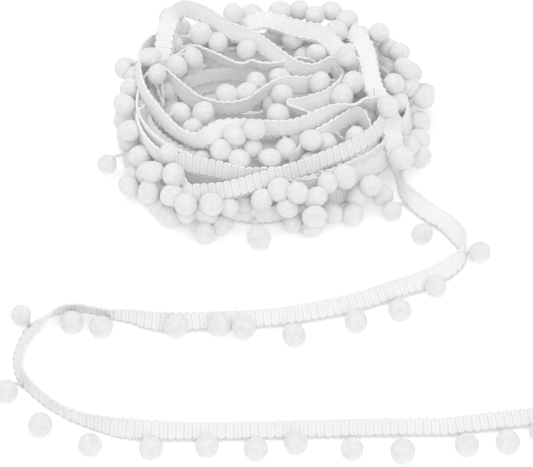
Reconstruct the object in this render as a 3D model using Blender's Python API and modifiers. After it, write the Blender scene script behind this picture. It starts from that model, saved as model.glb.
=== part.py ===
"""Pompom fringe trim: a white ribbed tape with a pompom every 25 mm along one edge, wound in a loose heap, with
one end laid out on the table in a long S.

The heap is one solid: a hollow lumpy ring, the tape turns that show on it and its pompoms. The loose end is the
tape itself and narrow strips of its edge, each with its stalks and pompoms.

Routes are tables of points measured on the photograph. from_photo lays each one at its height above the floor.
"""

import math

import bmesh
import bpy
from mathutils import Matrix, Vector

MM = 0.001

# The trim, in metres.
TAPE_WIDTH = 0.010
TAPE_THICKNESS = 0.0018
EDGE_STRIP_WIDTH = 0.0012
POMPOM_RADIUS = 0.0055
STALK_WIDTH = 0.0026
STALK_DEPTH = 0.0011
STALK_DROP = 0.0042
STALK_ROOT = 0.0003
STALK_REST = 0.6
HEAP_STALK_DEPTH = 0.0024
HEAP_STALK_REACH = 0.9
PART_GAP = 0.0003
LOOSE_STEP = 0.0045
TURN_STEP = 0.0075
SPAN_SAMPLES = 12

# The wound heap, in metres and degrees.
HEAP_HALF_WIDTH = 0.076
HEAP_HALF_DEPTH = 0.058
CORE_HEIGHT = 0.029
HOLLOW_OFFSET = (-0.010, 0.022)
HOLLOW_HALF_WIDTH = 0.036
HOLLOW_HALF_DEPTH = 0.015
CORE_SECTIONS = 40
WALL_TURN_SECTIONS = 56
# Slow waves, as in a loose winding. Columns: size, waves in a round, start in radians.
RIM_WAVES = ((0.020, 3, 1.0), (0.014, 5, 2.2))
HOLLOW_WAVES = ((0.05, 2, 0.6), (0.04, 3, 0.0))
CREST_WAVES = ((0.05, 2, 0.5), (0.05, 7, 0.0))
# The section of the ring under the turns. Columns: share of the way from hollow to rim, share of the height.
CORE_PROFILE = (
    (0.00, 0.00),
    (0.01, 0.45),
    (0.06, 0.80),
    (0.20, 0.98),
    (0.45, 1.02),
    (0.70, 0.98),
    (0.88, 0.84),
    (0.98, 0.58),
    (1.03, 0.28),
    (1.00, 0.00),
)
# Turns round the outer wall.
# Columns: name, height, rise and fall, how far out, start of its waves, lean in degrees.
WALL_TURNS = (
    ("outer_low", 0.0055, 0.0, 0.0012, 1.08, 0),
    ("outer_high", 0.0165, 0.0018, 0.0006, 0.54, -8),
)
HEAP_GRAIN = 0.0010
SMOOTH_SHARE = 0.5
SMOOTH_ROUNDS = 3
HEAP_FACES = 9600
FOOT_REACH = 0.0004

# The viewpoint of the photograph: 1.2 m from the table, 50 degrees above it, with a 160 mm lens.
PHOTO_MIDDLE = (266.5, 233.5)
PHOTO_WIDTH = 533
LENS = 0.160
SENSOR_WIDTH = 0.036
VIEW_DISTANCE = 1.2
VIEW_ELEVATION = math.radians(50)
# The table point in the middle of the photograph, from the middle of the part.
LOOK_AT = (-0.0045, 0.0063)
HEAP_MIDDLE_PIXEL = (272, 142)

# Tape turns that show on the heap. Columns: photo_x, photo_y, height in mm, lean in degrees.
# The lean tips the tape's upper edge from upright towards the right hand of its run.
TURNS = {
    "back_left_loop": (
        (162, 61, 30, -80),
        (164, 47, 32, -84),
        (166, 34, 34, -84),
        (170, 21, 35, -65),
        (176, 12, 36, -25),
        (185, 8, 36, -20),
        (196, 11, 36, -25),
        (208, 16, 36, -25),
        (220, 24, 35, -22),
        (234, 32, 34, -25),
        (251, 38, 33, -25),
        (266, 48, 32, -25),
        (280, 58, 31, -20),
        (296, 68, 30, -15),
        (314, 71, 30, -10),
        (331, 64, 30, -10),
    ),
    "left_loop_and_crossing": (
        (161, 42, 24, 20),
        (150, 45, 28, 12),
        (141, 54, 31, 0),
        (138, 68, 33, -14),
        (140, 82, 33, -12),
        (146, 96, 33, -9),
        (157, 111, 33, -8),
        (169, 125, 33, -7),
        (182, 135, 33, 2),
        (196, 140, 33, -6),
        (208, 136, 33, -42),
        (222, 129, 34, -50),
        (240, 128, 34, -40),
        (262, 128, 34, -15),
        (285, 128, 34, -10),
        (301, 125, 34, -15),
        (316, 119, 34, -20),
        (332, 112, 34, -8),
        (343, 108.5, 34, 15),
        (353, 105.5, 34, 36),
        (363, 103, 33, 12),
        (375, 103, 32, 0),
    ),
    "under_crossing": (
        (306, 142, 27, -10),
        (318, 136, 28, -10),
        (330, 129, 29, -10),
        (342, 122, 29, -12),
        (353, 115, 29, -10),
        (361, 116, 28, -10),
        (366, 124, 26, -10),
    ),
    "hollow_front": (
        (160, 68, 30, 10),
        (168, 76, 29, 0),
        (177, 86, 28, -10),
        (187, 95, 27, -15),
        (197, 102, 26, -10),
        (208, 105, 26, 0),
        (222, 108, 26, 0),
        (238, 107, 26, 0),
        (250, 103, 26, 0),
        (262, 94, 27, 0),
        (273, 88, 28, -5),
        (287, 84, 29, -20),
        (302, 85, 29, -20),
    ),
    "hollow_back_edge_on": (
        (164, 64, 29, 30),
        (175, 57, 29, 30),
        (186, 51, 29, 25),
        (196, 49, 29, 20),
        (206, 53, 28, 15),
        (218, 58, 27, 15),
        (230, 63, 26, 20),
        (241, 66, 26, 25),
        (251, 63, 26, 25),
        (262, 66, 26, 20),
        (276, 66, 27, 20),
        (290, 62, 28, 20),
    ),
    "hollow_back_ribbed": (
        (202, 61.5, 17, 20),
        (207, 64.5, 16.5, 4),
        (214, 68.5, 16, -8),
        (225, 71.5, 15, -12),
        (240, 74, 14, -14),
        (254, 76, 14, -14),
        (270, 76.5, 15, -14),
        (284, 73, 17, -14),
    ),
    "back_top": (
        (249, 25, 35, -75),
        (262, 20, 36, -65),
        (276, 22, 36, -55),
        (290, 27, 36, -45),
        (304, 30.5, 36, -40),
        (318, 33, 36, -40),
        (330, 41, 35, -45),
        (341, 55, 33, -60),
    ),
    "right_side_and_neck": (
        (350, 30, 35, -40),
        (360, 40, 35, -65),
        (366.5, 54, 34, -80),
        (369.5, 70, 33, -82),
        (373, 86, 32, -80),
        (382, 102, 30, -80),
        (390, 118, 28, -84),
        (392, 132, 25, -86),
        (394, 147, 20, -80),
        (397, 160, 15.5, -66),
        (399.5, 171, 12.0, -54),
        (401.6, 180, 8.6, -55),
    ),
    "front_upper": (
        (138, 120, 25, 5),
        (142, 134, 24, 5),
        (150, 147, 23, 0),
        (162, 157, 23, -5),
        (180, 162, 25, -20),
        (195, 165, 26, -25),
        (210, 168, 26, -25),
        (224, 171, 26, -25),
        (238, 175, 25, -20),
        (254, 176, 24, -20),
        (270, 175, 24, -15),
    ),
    "front_crossing": (
        (187, 193, 19, -40),
        (200, 193, 20, -30),
        (214, 192, 21, -25),
        (228, 190, 22, -25),
        (244, 186, 23, -25),
        (262, 180, 24, -20),
        (282, 174, 25, -15),
        (302, 168, 26, -15),
        (322, 160, 27, -15),
        (340, 153, 27, -20),
        (357, 145, 28, -20),
        (371, 136, 28, -20),
        (382, 124, 28, -20),
    ),
    "front_right_lower": (
        (322, 182, 17, 0),
        (337, 176, 17, -10),
        (350, 169, 17, -20),
        (363, 160, 18, -20),
        (376, 149, 18, -10),
    ),
    "front_right_low": (
        (316, 203, 8, -20),
        (330, 198, 8, -20),
        (343, 194, 8, -20),
        (358, 188, 8, -20),
    ),
    "front_foot": (
        (226, 212, 6, -20),
        (240, 213, 5.5, -20),
        (256, 215, 5.5, -20),
        (272, 214, 5.5, -20),
        (292, 211, 5.5, -20),
    ),
    "front_right_tuck": (
        (358, 176, 13, -25),
        (369, 169, 14, -30),
        (381, 162, 14, -30),
        (392, 152, 14, -30),
    ),
    "right_hollow_edge": (
        (290, 108, 30, -20),
        (302, 106, 30, -20),
        (314, 103, 30, -30),
        (328, 98, 30, -30),
        (340, 88, 30, -20),
    ),
}

# Pompoms that show on the heap, as photo_x, photo_y, a row for each height in mm.
HEAP_POMPOMS = {
    36: ((237, 20), (251, 15), (284, 12), (297, 11), (317, 14), (327, 12), (388, 106)),
    34: ((346, 21), (337, 31), (365, 36), (235, 136), (253, 131), (342, 58)),
    33: ((171, 17), (378, 38), (351, 50)),
    32: ((357, 83), (342, 96), (320, 83), (278, 115), (150, 62), (157, 76), (176, 66), (193, 58)),
    30: (
        (386, 47),
        (394, 84),
        (282, 95),
        (180, 113),
        (201, 117),
        (309, 139),
        (250, 147),
        (222, 151),
        (247, 49),
    ),
    29: ((218, 42), (201, 37), (397, 58)),
    28: (
        (241, 157),
        (270, 158),
        (287, 150),
        (355, 137),
        (171, 152),
        (229, 95),
        (247, 93),
        (255, 83),
        (317, 53),
    ),
    26: ((195, 128), (324, 144), (299, 115), (400, 68), (280, 78)),
    22: ((405, 73), (129, 71), (133, 86), (134, 110), (142, 129), (402, 158)),
    20: ((180, 180), (326, 184), (342, 177), (282, 192), (296, 195), (407, 88), (152, 176)),
    17: ((177, 191), (262, 198), (313, 197), (406, 104), (186, 204)),
    15: ((404, 118), (126, 104), (371, 186), (209, 205)),
    13: ((131, 120), (140, 157), (196, 203), (406, 132), (150, 190)),
    11: ((420, 95), (145, 178), (224, 211), (291, 211), (207, 214), (314, 219), (404, 143)),
    8: ((419, 122), (125, 121), (184, 211), (357, 198), (410, 139), (137, 186), (130, 146)),
    5.5: (
        (128, 137),
        (133, 160),
        (134, 176),
        (147, 197),
        (160, 206),
        (173, 213),
        (208, 228),
        (219, 224),
        (294, 221),
        (313, 227),
        (334, 213),
        (352, 214),
        (383, 195),
        (419, 156),
        (107, 164),
        (259, 238),
    ),
}

# Pompoms round the back of the heap, which the photograph doesn't show.
# Columns: first and last bearing in degrees, number, height in mm, how far out in mm.
BACK_POMPOMS = (
    (24, 150, 11, 5.5, 5.5),
    (18, 156, 11, 15.5, 4.5),
    (30, 146, 9, 25.5, 0.0),
)
BACK_POMPOM_SWAY = 0.0015

# The loose end's middle line. Columns: photo_x, photo_y, lift off the table in mm, lean in degrees.
LOOSE_END = (
    (402.2, 182, 5.2, -56),
    (407, 192, 2.7, -61),
    (416, 201, 1.1, -66),
    (430, 212, 0, -69),
    (445, 222, 0, -64),
    (458, 235, 0, -45),
    (464, 246, 0, -10),
    (462, 256, 0, 20),
    (448, 268, 0, 50),
    (425, 280, 0, 62),
    (399, 288, 0, 67),
    (356, 302, 0, 70),
    (303, 313, 0, 72),
    (264, 318, 0, 75),
    (201, 321, 0, 76),
    (172, 322, 0, 55),
    (148, 320, 0, 28),
    (129, 316, 0, 3),
    (110, 314, 0, -10),
    (93, 310, 0, -18),
    (77, 308, 0, -15),
    (60, 310, 0, -16),
    (46, 317, 0, -36),
    (34, 328, 0, -56),
    (25, 341, 0, -50),
    (20, 352, 0, -40),
    (18.6, 364, 0, -28),
    (21.5, 376, 0, -14),
    (31, 387, 0, -7),
    (43, 398, 0, -3),
    (57, 407.5, 0, 0),
    (74, 416, 0, -2),
    (96, 422.5, 0, -14),
    (120, 427.5, 0, -38),
    (150, 430, 0, -64),
    (182, 431, 0, -80),
    (224, 431, 0, -85),
    (264, 430, 0, -85),
    (310, 429, 0, -85),
    (352, 428, 0, -85),
    (403, 427, 0, -85),
    (443, 427, 0, -85),
    (469, 424, 0, -85),
    (495, 421, 0, -85),
    (532, 417, 0, -85),
    (557, 415, 0, -85),
)

# The loose end's pompoms as photo_x, photo_y, height in mm, a group for each strip of edge that carries them.
LOOSE_POMPOMS = {
    "pompoms_off_heap": ((392, 211, 5.5), (422, 234, 5.5), (480, 252, 5.5)),
    "pompoms_upper_run": (
        (436, 287, 5.5),
        (400, 310, 5.5),
        (356, 321, 5.5),
        (294, 335, 5.5),
        (244, 327, 7.8),
        (219, 324, 7.8),
        (176, 326, 8.2),
    ),
    "pompoms_left_bend": ((101, 327, 5.5), (72, 322, 5.5), (21, 315, 5.5)),
    "pompoms_left_turn": ((6, 391, 5.5), (40, 425, 5.5)),
    "pompoms_lower_run": (
        (90, 445, 5.5),
        (151, 448, 5.5),
        (207, 446, 5.5),
        (256, 449, 5.5),
        (296, 443, 5.5),
        (352, 449, 5.5),
        (403, 451, 5.5),
        (467, 445, 5.5),
        (508, 442, 5.5),
        (541, 432, 5.5),
    ),
}

# Where each strip of edge starts along the loose end, as a share of its length.
STRIP_STARTS = {
    "pompoms_off_heap": 0.0,
    "pompoms_upper_run": 0.124,
    "pompoms_left_bend": 0.392,
    "pompoms_left_turn": 0.520,
    "pompoms_lower_run": 0.608,
}


def clear_scene():
    """Removes whatever the scene holds."""
    for item in list(bpy.data.objects):
        bpy.data.objects.remove(item, do_unlink=True)


def collection_named(name):
    """A new collection in the scene."""
    made = bpy.data.collections.new(name)
    bpy.context.scene.collection.children.link(made)
    return made


def plain_material(name, colour, roughness):
    """A Principled material of one colour."""
    made = bpy.data.materials.new(name)
    made.use_nodes = True
    shader = made.node_tree.nodes["Principled BSDF"]
    shader.inputs["Base Color"].default_value = (*colour, 1.0)
    shader.inputs["Roughness"].default_value = roughness
    shader.inputs["Metallic"].default_value = 0.0
    made.diffuse_color = (*colour, 1.0)
    return made


def object_from(name, shape, collection, material):
    """Turns a bmesh into an object with one material."""
    bmesh.ops.recalc_face_normals(shape, faces=shape.faces[:])
    mesh = bpy.data.meshes.new(name)
    shape.to_mesh(mesh)
    shape.free()
    mesh.materials.append(material)
    made = bpy.data.objects.new(name, mesh)
    collection.objects.link(made)
    return made


def from_photo(photo_x, photo_y, height):
    """The point at this height, in metres, that a pixel of the photograph shows."""
    pixels_across = LENS / SENSOR_WIDTH * PHOTO_WIDTH
    rise = math.sin(VIEW_ELEVATION)
    reach = math.cos(VIEW_ELEVATION)
    eye = Vector((LOOK_AT[0], LOOK_AT[1] - VIEW_DISTANCE * reach, VIEW_DISTANCE * rise))
    right = (photo_x - PHOTO_MIDDLE[0]) / pixels_across
    up = (PHOTO_MIDDLE[1] - photo_y) / pixels_across
    sight = Vector((right, reach + up * rise, -rise + up * reach))
    return eye + sight * ((height - eye.z) / sight.z)


def catmull_rom(before, start, end, after, share):
    """A point between start and end on a smooth curve through all four."""
    return 0.5 * (
        2 * start
        + (end - before) * share
        + (2 * before - 5 * start + 4 * end - after) * share**2
        + (3 * start - before - 3 * end + after) * share**3
    )


def evenly_spaced(rows, step):
    """Rows of four numbers read at even steps along a smooth curve through them, with the ends kept."""
    points = [rows[0], *rows, rows[-1]]
    fine = []
    for index in range(1, len(points) - 2):
        span = points[index - 1 : index + 3]
        fine += [catmull_rom(*span, part / SPAN_SAMPLES) for part in range(SPAN_SAMPLES)]
    fine.append(rows[-1])
    lengths = [0.0]
    for start, end in zip(fine, fine[1:]):
        lengths.append(lengths[-1] + (end - start).to_3d().length)
    count = max(2, round(lengths[-1] / step))
    spaced = []
    place = 0
    for number in range(count + 1):
        wanted = lengths[-1] * number / count
        while place < len(lengths) - 2 and lengths[place + 1] < wanted:
            place += 1
        share = (wanted - lengths[place]) / (lengths[place + 1] - lengths[place])
        spaced.append(fine[place].lerp(fine[place + 1], min(1.0, share)))
    return spaced


def heap_route(table):
    """Evenly spaced points (x, y, z, lean) along a turn of the heap."""
    rows = []
    for photo_x, photo_y, height_mm, lean_deg in table:
        rows.append(Vector((*from_photo(photo_x, photo_y, height_mm * MM), math.radians(lean_deg))))
    return evenly_spaced(rows, TURN_STEP)


def loose_route():
    """Evenly spaced points (x, y, z, lean) along the loose end, which rests on the floor by its lower edge."""
    rows = []
    for photo_x, photo_y, lift_mm, lean_deg in LOOSE_END:
        lean = math.radians(lean_deg)
        place = from_photo(photo_x, photo_y, lift_mm * MM + resting_height(lean))
        rows.append(Vector((place.x, place.y, lift_mm * MM, lean)))
    route = evenly_spaced(rows, LOOSE_STEP)
    for point in route:
        point.z = max(0.0, point.z) + resting_height(point.w)
    return route


def resting_height(lean):
    """How high the middle of the tape lies when its lower edge rests on the floor."""
    return 0.5 * (TAPE_WIDTH * math.cos(lean) + TAPE_THICKNESS * abs(math.sin(lean)))


def frames_along(route, ring=False):
    """For each point of a route: the point, the direction across the tape and the one through it."""
    frames = []
    last = len(route) - 1
    for index, point in enumerate(route):
        start = route[index - 1 if ring else max(0, index - 1)].to_3d()
        end = route[(index + 1) % len(route) if ring else min(last, index + 1)].to_3d()
        run = (end - start).normalized()
        level_right = run.cross(Vector((0, 0, 1))).normalized()
        upright = level_right.cross(run)
        across = upright * math.cos(point.w) + level_right * math.sin(point.w)
        frames.append((point.to_3d(), across, run.cross(across)))
    return frames


def loft(sections, ring=False):
    """A bmesh through sections with like numbers of points, closed by end faces or into a ring."""
    shape = bmesh.new()
    rows = [[shape.verts.new(point) for point in section] for section in sections]
    pairs = list(zip(rows, rows[1:]))
    if ring:
        pairs.append((rows[-1], rows[0]))
    sides = len(rows[0])
    for here, there in pairs:
        for side in range(sides):
            following = (side + 1) % sides
            shape.faces.new((here[side], here[following], there[following], there[side]))
    if not ring:
        shape.faces.new(rows[0])
        shape.faces.new(rows[-1])
    return shape


def ribbon(frames, from_edge, to_edge, ring=False):
    """The tape along its frames, from one distance off its pompom edge to another."""
    low = from_edge - TAPE_WIDTH / 2
    high = to_edge - TAPE_WIDTH / 2
    half = TAPE_THICKNESS / 2
    corners = ((low, -half), (high, -half), (high, half), (low, half))
    sections = []
    for middle, across, through in frames:
        sections.append([middle + across * wide + through * deep for wide, deep in corners])
    return loft(sections, ring)


def ball(centre):
    """A pompom, with its lowest point straight below its centre."""
    shape = bmesh.new()
    bmesh.ops.create_icosphere(shape, subdivisions=2, radius=POMPOM_RADIUS, matrix=Matrix.Translation(centre))
    return shape


def stalk(root, centre, depth=STALK_DEPTH):
    """The threads from an edge to just below the centre of its pompom, as one flat four-sided bar."""
    start = Vector((root.x, root.y, max(root.z, depth * STALK_REST)))
    tip = centre - Vector((0, 0, min(STALK_DROP, max(0.0, centre.z - start.z))))
    run = tip - start
    turn = run.to_track_quat("Z", "Y").to_matrix().to_4x4()
    flatten = Matrix.Diagonal((STALK_WIDTH / depth, 1, 1, 1))
    shape = bmesh.new()
    bmesh.ops.create_cone(
        shape,
        cap_ends=True,
        segments=4,
        radius1=depth / 2,
        radius2=depth / 2,
        depth=run.length,
        matrix=Matrix.Translation((start + tip) / 2) @ turn @ flatten,
    )
    return shape


def apply_modifiers(body):
    """Makes the shape that an object's modifiers give its own mesh."""
    bpy.context.view_layer.update()
    evaluated = body.evaluated_get(bpy.context.evaluated_depsgraph_get())
    shaped = bpy.data.meshes.new_from_object(evaluated)
    body.modifiers.clear()
    body.data = shaped


def fuse(body, others, solver="EXACT"):
    """Joins the others to the body, and keeps the outer skin of the result."""
    join = body.modifiers.new("join", "BOOLEAN")
    join.operation = "UNION"
    join.operand_type = "COLLECTION"
    join.collection = others
    join.solver = solver
    apply_modifiers(body)
    for item in list(others.objects):
        bpy.data.objects.remove(item, do_unlink=True)
    keep_outer_skin(body.data)


def keep_outer_skin(mesh):
    """Deletes every separate skin of a mesh but the largest, so no sealed hollow is left."""
    shape = bmesh.new()
    shape.from_mesh(mesh)
    unseen = set(shape.verts)
    skins = []
    while unseen:
        edge_of_skin = [unseen.pop()]
        skin = set(edge_of_skin)
        while edge_of_skin:
            vert = edge_of_skin.pop()
            for edge in vert.link_edges:
                other = edge.other_vert(vert)
                if other in unseen:
                    unseen.remove(other)
                    skin.add(other)
                    edge_of_skin.append(other)
        skins.append(skin)
    skins.sort(key=len)
    for skin in skins[:-1]:
        bmesh.ops.delete(shape, geom=list(skin), context="VERTS")
    shape.to_mesh(mesh)
    shape.free()


def flatten_foot(mesh):
    """Sets every point that lies within a hair of the floor on it."""
    for vert in mesh.vertices:
        if vert.co.z < FOOT_REACH:
            vert.co.z = 0.0


def heap_middle():
    """The middle of the heap on the floor."""
    return from_photo(*HEAP_MIDDLE_PIXEL, 0.0)


def waved(waves, bearing):
    """How many times its plain size a round outline has at a bearing."""
    return 1 + sum(size * math.sin(count * bearing + start) for size, count, start in waves)


def rim_point(bearing, height=0.0, outwards=0.0):
    """A point of the heap's outer outline."""
    flat = Vector((HEAP_HALF_WIDTH * math.cos(bearing), HEAP_HALF_DEPTH * math.sin(bearing), 0))
    flat *= waved(RIM_WAVES, bearing)
    flat *= 1 + outwards / flat.length
    return heap_middle() + flat + Vector((0, 0, height))


def hollow_point(bearing):
    """A point of the edge of the hollow in the heap's middle, on the floor."""
    flat = Vector((HOLLOW_HALF_WIDTH * math.cos(bearing), HOLLOW_HALF_DEPTH * math.sin(bearing), 0))
    return heap_middle() + Vector((*HOLLOW_OFFSET, 0)) + flat * waved(HOLLOW_WAVES, bearing)


def core_sections():
    """Sections of the heap's ring, each a flat-bottomed hump from the hollow to the rim."""
    sections = []
    for number in range(CORE_SECTIONS):
        bearing = 2 * math.pi * number / CORE_SECTIONS
        inner = hollow_point(bearing)
        outer = rim_point(bearing)
        top = CORE_HEIGHT * waved(CREST_WAVES, bearing)
        sections.append([inner.lerp(outer, across) + Vector((0, 0, top * up)) for across, up in CORE_PROFILE])
    return sections


def wall_turn(height, wobble, outwards, start, lean_deg):
    """One whole turn of tape round the outer wall of the heap, as the points of a ring."""
    route = []
    for number in range(WALL_TURN_SECTIONS):
        bearing = 2 * math.pi * number / WALL_TURN_SECTIONS
        sway = math.sin(2 * bearing + start)
        point = rim_point(bearing, height + wobble * sway, outwards)
        route.append(Vector((*point, math.radians(lean_deg))))
    return route


def heap_pompom_centres():
    """Every pompom on the heap: those of the photograph, then those round its back."""
    centres = []
    for height_mm, spots in HEAP_POMPOMS.items():
        centres += [from_photo(*spot, height_mm * MM) for spot in spots]
    for first, last, count, height_mm, out_mm in BACK_POMPOMS:
        for number in range(count):
            bearing = math.radians(first + (last - first) * number / (count - 1))
            sway = BACK_POMPOM_SWAY * math.sin(5 * number) if height_mm > POMPOM_RADIUS / MM else 0.0
            centres.append(rim_point(bearing, height_mm * MM + sway, out_mm * MM))
    return centres


def make_heap(parts, joining, material):
    """The wound heap, as one solid."""
    heap = object_from("wound_heap", loft(core_sections(), ring=True), parts, material)
    for name, table in TURNS.items():
        object_from(name, ribbon(frames_along(heap_route(table)), 0.0, TAPE_WIDTH), joining, material)
    for name, *shape in WALL_TURNS:
        frames = frames_along(wall_turn(*shape), ring=True)
        object_from(name, ribbon(frames, 0.0, TAPE_WIDTH, ring=True), joining, material)
    middle = heap_middle()
    for number, centre in enumerate(heap_pompom_centres()):
        object_from(f"pompom_{number}", ball(centre), joining, material)
        offset = (centre - middle).to_2d()
        reach = math.hypot(offset.x / HEAP_HALF_WIDTH, offset.y / HEAP_HALF_DEPTH)
        if reach > 1.0:
            root = middle + Vector((*(offset * HEAP_STALK_REACH / reach), centre.z))
            object_from(f"stalk_{number}", stalk(root, centre, HEAP_STALK_DEPTH), joining, material)
    fuse(heap, joining, solver="MANIFOLD")
    even = heap.modifiers.new("even_skin", "REMESH")
    even.mode = "VOXEL"
    even.voxel_size = HEAP_GRAIN
    soften = heap.modifiers.new("soften", "SMOOTH")
    soften.factor = SMOOTH_SHARE
    soften.iterations = SMOOTH_ROUNDS
    apply_modifiers(heap)
    keep_outer_skin(heap.data)
    heap.data.calc_loop_triangles()
    fewer = heap.modifiers.new("fewer_faces", "DECIMATE")
    fewer.ratio = HEAP_FACES / len(heap.data.loop_triangles)
    apply_modifiers(heap)
    flatten_foot(heap.data)
    return heap


def make_loose_tape(frames, parts, material):
    """The loose end's tape, without the narrow edge that carries the pompoms."""
    return object_from("loose_tape", ribbon(frames, EDGE_STRIP_WIDTH + PART_GAP, TAPE_WIDTH), parts, material)


def strips_of(frames):
    """The loose end's frames cut into one stretch for each strip, with a gap between neighbours."""
    names = list(STRIP_STARTS)
    last = len(frames) - 1
    starts = [round(STRIP_STARTS[name] * last) for name in names] + [last]
    stretches = {}
    for name, first_place, last_place in zip(names, starts, starts[1:]):
        stretch = frames[first_place : last_place + 1]
        if last_place < last:
            middle, across, through = stretch[-1]
            stretch[-1] = (middle - across.cross(through) * PART_GAP, across, through)
        stretches[name] = stretch
    return stretches


def make_loose_pompoms(name, frames, parts, joining, material):
    """One strip of the tape's edge with its stalks and pompoms."""
    strip = object_from(name, ribbon(frames, 0.0, EDGE_STRIP_WIDTH), parts, material)
    edge = []
    for middle, across, _ in frames:
        edge.append(middle + across * (STALK_ROOT - TAPE_WIDTH / 2))
    for number, (photo_x, photo_y, height_mm) in enumerate(LOOSE_POMPOMS[name]):
        centre = from_photo(photo_x, photo_y, height_mm * MM)
        root = min(edge[1:-1], key=lambda point: (point - centre).length)
        object_from(f"{name}_ball_{number}", ball(centre), joining, material)
        object_from(f"{name}_stalk_{number}", stalk(root, centre), joining, material)
    fuse(strip, joining)
    return strip


def main():
    clear_scene()
    parts = collection_named("pompom_fringe_trim")
    joining = collection_named("joined_pieces")
    joining.hide_render = True
    wound = plain_material("wound_trim", (0.90, 0.90, 0.90), 0.90)
    tape = plain_material("white_tape", (0.92, 0.92, 0.92), 0.80)
    pompom = plain_material("white_pompom", (0.94, 0.94, 0.94), 0.95)
    make_heap(parts, joining, wound)
    frames = frames_along(loose_route())
    make_loose_tape(frames, parts, tape)
    for name, stretch in strips_of(frames).items():
        make_loose_pompoms(name, stretch, parts, joining, pompom)
    for made in parts.objects:
        made.data.shade_smooth()
        made.data.set_sharp_from_angle(angle=math.radians(30))


main()
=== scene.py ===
"""The looks of a pompom fringe trim: a white cross-ribbed tape with a pompom every 25 mm along one
edge, wound in a loose heap, with one end laid out on the table in a long S.

Routes are tables of points measured on the photograph, and from_photo lays each one at its height
above the table.
"""

import math

import bmesh
import bpy
import numpy as np
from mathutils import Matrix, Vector


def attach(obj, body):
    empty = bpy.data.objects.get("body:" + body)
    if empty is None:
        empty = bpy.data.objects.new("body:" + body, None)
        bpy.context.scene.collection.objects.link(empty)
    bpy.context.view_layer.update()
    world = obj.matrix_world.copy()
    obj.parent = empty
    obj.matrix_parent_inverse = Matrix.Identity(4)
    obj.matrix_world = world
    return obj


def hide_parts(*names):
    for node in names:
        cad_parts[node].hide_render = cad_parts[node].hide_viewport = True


MM = 0.001
UP = np.array((0.0, 0.0, 1.0))
SPAN_SAMPLES = 24
ROUTE_STEP = 0.001

# Colours and light.
WHITE = (1.0, 1.0, 1.0)
# Painted shade: the grooves between the ribs are coloured darker than the ribs.
TAPE_GROOVE_SHADE = (0.79, 0.79, 0.79)
TAPE_RIB = (0.92, 0.92, 0.92)
POMPOM_DEEP = (0.77, 0.77, 0.77)
POMPOM_LIGHT = (0.85, 0.85, 0.85)
# Painted shade: the thread is coloured darker in the valleys of its twist.
THREAD_TWIST_SHADE = (0.70, 0.70, 0.70)
THREAD_LIGHT = (0.88, 0.88, 0.88)
YARN_GLOW = 0.03
TABLE_GLOW = 0.18
WORLD_STRENGTH = 0.70
# Columns: name, place in metres, size in metres, power in watts.
SOFT_LIGHTS = (
    ("top_light", (-0.25, 0.45, 1.1), 0.8, 3.0),
    ("front_light", (0.3, -1.0, 1.3), 1.0, 6.0),
)

# The tape, in metres. Its ribs run across it, and its edges are scalloped by the loops of every second rib.
TAPE_WIDTH = 0.010
TAPE_THICKNESS = 0.0018
RIB_PITCH = 0.00195
SAMPLES_PER_RIB = 4
RIB_HALF_HEIGHT = 0.00075
GROOVE_HALF_HEIGHT = 0.00034
SCALLOP_DEPTH = 0.00075
# How sharp the ribs' crests are, how much shallower the groove is between the two ribs of a loop, how
# much the ribs differ in height, and what share of the scallop each rib adds to its loop.
RIB_CREST = 0.8
PAIR_SHARE = 0.30
RIB_UNEVENNESS = 0.14
RIB_SCALLOP = 0.35
# Lanes across half of the tape's section, as share of the half width and share of the half height there.
FACE_LANES = (
    (-0.965, 0.75),
    (-0.88, 1.06),
    (-0.79, 0.78),
    (-0.60, 1.00),
    (-0.20, 1.04),
    (0.20, 1.04),
    (0.60, 1.00),
    (0.79, 0.78),
    (0.88, 1.06),
    (0.965, 0.75),
)
# The same where the tape shows only between other turns.
HIDDEN_LANES = (
    (-0.95, 0.80),
    (-0.60, 1.00),
    (0.00, 1.04),
    (0.60, 1.00),
    (0.95, 0.80),
)
# The chain of looped thread along the pompom edge.
CHAIN_RADIUS = 0.00036
CHAIN_SWING = 0.00055
CHAIN_OFFSET = 0.00060
CHAIN_SAMPLES_PER_RIB = 3

# The pompoms and their stalks of three threads, in metres.
POMPOM_RADIUS = 0.0055
BALL_SUBDIVISIONS = 4
# Waves that make the tufts of a ball, with their first and last rate and height.
TUFT_WAVES = 10
TUFT_RATES = (2.0, 13.0)
TUFT_HEIGHTS = (0.007, 0.004)
# How far out of round the balls are on the loose end, in view on the heap, and behind those.
LAID_UNEVENNESS = 0.08
SEEN_UNEVENNESS = 0.26
HIDDEN_UNEVENNESS = 0.20
# The smallest of the heap's balls as shares of the radius, in view and behind, and how they spread.
SEEN_SMALLEST = 0.98
HIDDEN_SMALLEST = 0.96
SIZE_SPREAD = 0.10
FIBRES_PER_POMPOM = 110
FIBRE_LENGTH = 0.00055
FIBRE_RADIUS = 0.00007
FIBRE_TILT = 0.45
STALK_THREAD_RADIUS = 0.00042
STALK_THREAD_SPACING = 0.00095
STALK_STEP = 0.0009
STALK_ARCH = 0.0004
LONGEST_STALK = 0.0125
# How much of its radius a pompom keeps where it presses on another or on the tape.
FIRM_SHARE = 0.93
EASING_ROUNDS = 40

# The wound heap, in metres, as in the solid.
HEAP_HALF_WIDTH = 0.076
HEAP_HALF_DEPTH = 0.058
HOLLOW_OFFSET = (-0.010, 0.022)
HOLLOW_HALF_WIDTH = 0.036
HOLLOW_HALF_DEPTH = 0.015

# The viewpoint of the photograph: 1.2 m from the table, 50 degrees above it, with a 160 mm lens.
PHOTO_MIDDLE = (266.5, 233.5)
PHOTO_WIDTH = 533
LENS = 0.160
SENSOR_WIDTH = 0.036
VIEW_DISTANCE = 1.2
VIEW_ELEVATION = math.radians(50)
TOWARDS_EYE = np.array((0.0, -math.cos(VIEW_ELEVATION), math.sin(VIEW_ELEVATION)))
LOOK_AT = np.array((-0.0045, 0.0063, 0.0))
HEAP_MIDDLE_PIXEL = (272, 142)

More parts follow.
